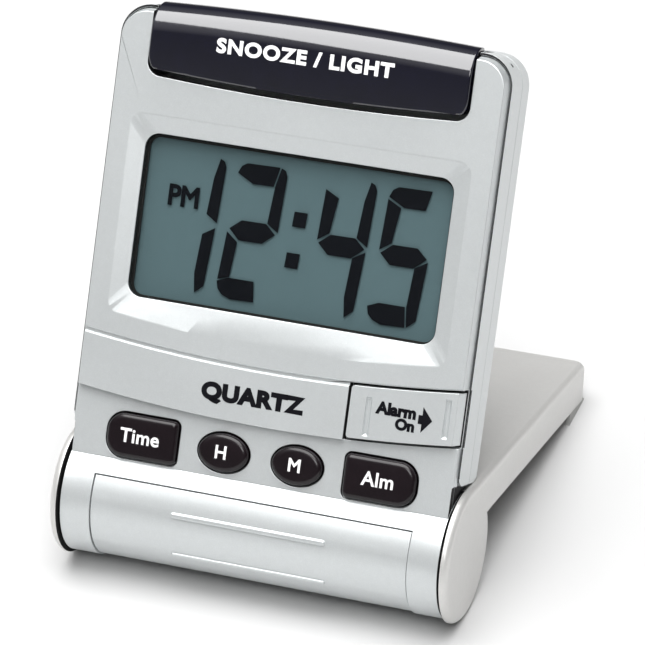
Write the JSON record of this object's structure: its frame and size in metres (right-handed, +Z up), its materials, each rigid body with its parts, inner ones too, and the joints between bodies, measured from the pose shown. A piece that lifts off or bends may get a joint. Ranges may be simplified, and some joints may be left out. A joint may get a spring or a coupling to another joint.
{
  "type": "folding travel alarm clock",
  "caption": "Folding travel alarm clock with a large liquid-crystal display, a snooze bar, push keys, an alarm slide and a battery barrel that hinges in a cover used as its stand.",
  "frame": {"origin": "centre of the standing clock's bounding box, on the table", "axes": "+X to the right of the display, +Y to the back, +Z up"},
  "size_m": [0.076, 0.085, 0.0964],
  "materials": {
    "silver_plastic": "fine metallic silver paint, satin",
    "silver_cover": "fine metallic silver paint, satin",
    "navy_gloss": "deep gloss, almost black navy",
    "key_gloss": "gloss, brown-black",
    "clear_window": "clear gloss",
    "lcd_glass": "satin",
    "black_print": "matte",
    "white_plastic": "matte",
    "board": "solder-resist",
    "epoxy": "gloss",
    "steel": "bright",
    "brass_disc": "satin",
    "nickel": "bright",
    "ceramic": "matte",
    "grey_rubber": "matte",
    "foam": "matte",
    "cell_sleeve": "gloss film over a steel can",
    "led_body": "clear"
  },
  "bodies": {
    "cover": {"cover_shell": "silver_cover", "rubber_feet": "grey_rubber", "pivot_pins": "steel", "friction_washers": "white_plastic"},
    "clock": {"fascia": "silver_plastic", "front_case": "silver_plastic", "rear_case": "silver_plastic", "lens": "clear_window", "case_screws": "steel", "window_mask": "black_print", "lcd_front_glass": "lcd_glass", "lcd_rear_glass": "lcd_glass", "lcd_frame": "white_plastic", "light_guide": "white_plastic", "connector_strip": "foam", "backlight_leds": "led_body", "circuit_board": "board", "chip_blob": "epoxy", "crystal": "nickel", "chip_capacitors": "ceramic", "sounder": "brass_disc", "sounder_ring": "foam", "snooze_switches": "black_print", "key_mat": "grey_rubber", "key_board": "board", "cell": "cell_sleeve", "cell_terminal": "nickel", "contact_positive": "nickel", "contact_negative": "nickel", "battery_spring": "nickel"},
    "snooze_bar": {"snooze_bar": "navy_gloss"},
    "battery_door": {"battery_door": "silver_plastic"},
    "alarm_slide": {"alarm_slide": "silver_plastic"},
    "key_time": {"button_time": "key_gloss"},
    "key_hour": {"button_hour": "key_gloss"},
    "key_minute": {"button_minute": "key_gloss"},
    "key_alarm": {"button_alarm": "key_gloss"}
  },
  "joints": [
    {"name": "hinge", "type": "hinge", "parent": "cover", "child": "clock", "pos_m": [0, -0.03025, 0.0123], "axis": [1, 0, 0], "range_deg": [0, 284.6]},
    {"name": "snooze_press", "type": "slide", "parent": "clock", "child": "snooze_bar", "axis": [0, -0.4702, -0.8825], "range_m": [0, 0.0009], "stiffness_N_per_m": 1500, "springref_m": -0.0006},
    {"name": "alarm_switch", "type": "slide", "parent": "clock", "child": "alarm_slide", "axis": [1, 0, 0], "range_m": [0, 0.001]},
    {"name": "door_release", "type": "slide", "parent": "clock", "child": "battery_door", "axis": [0, -1, 0], "range_m": [0, 0.025]},
    {"name": "press_time", "type": "slide", "parent": "clock", "child": "key_time", "axis": [0, 0.8825, -0.4702], "range_m": [0, 0.0006], "stiffness_N_per_m": 1800, "springref_m": -0.0004},
    {"name": "press_hour", "type": "slide", "parent": "clock", "child": "key_hour", "axis": [0, 0.8825, -0.4702], "range_m": [0, 0.0006], "stiffness_N_per_m": 1800, "springref_m": -0.0004},
    {"name": "press_minute", "type": "slide", "parent": "clock", "child": "key_minute", "axis": [0, 0.8825, -0.4702], "range_m": [0, 0.0006], "stiffness_N_per_m": 1800, "springref_m": -0.0004},
    {"name": "press_alarm", "type": "slide", "parent": "clock", "child": "key_alarm", "axis": [0, 0.8825, -0.4702], "range_m": [0, 0.0006], "stiffness_N_per_m": 1800, "springref_m": -0.0004}
  ]
}
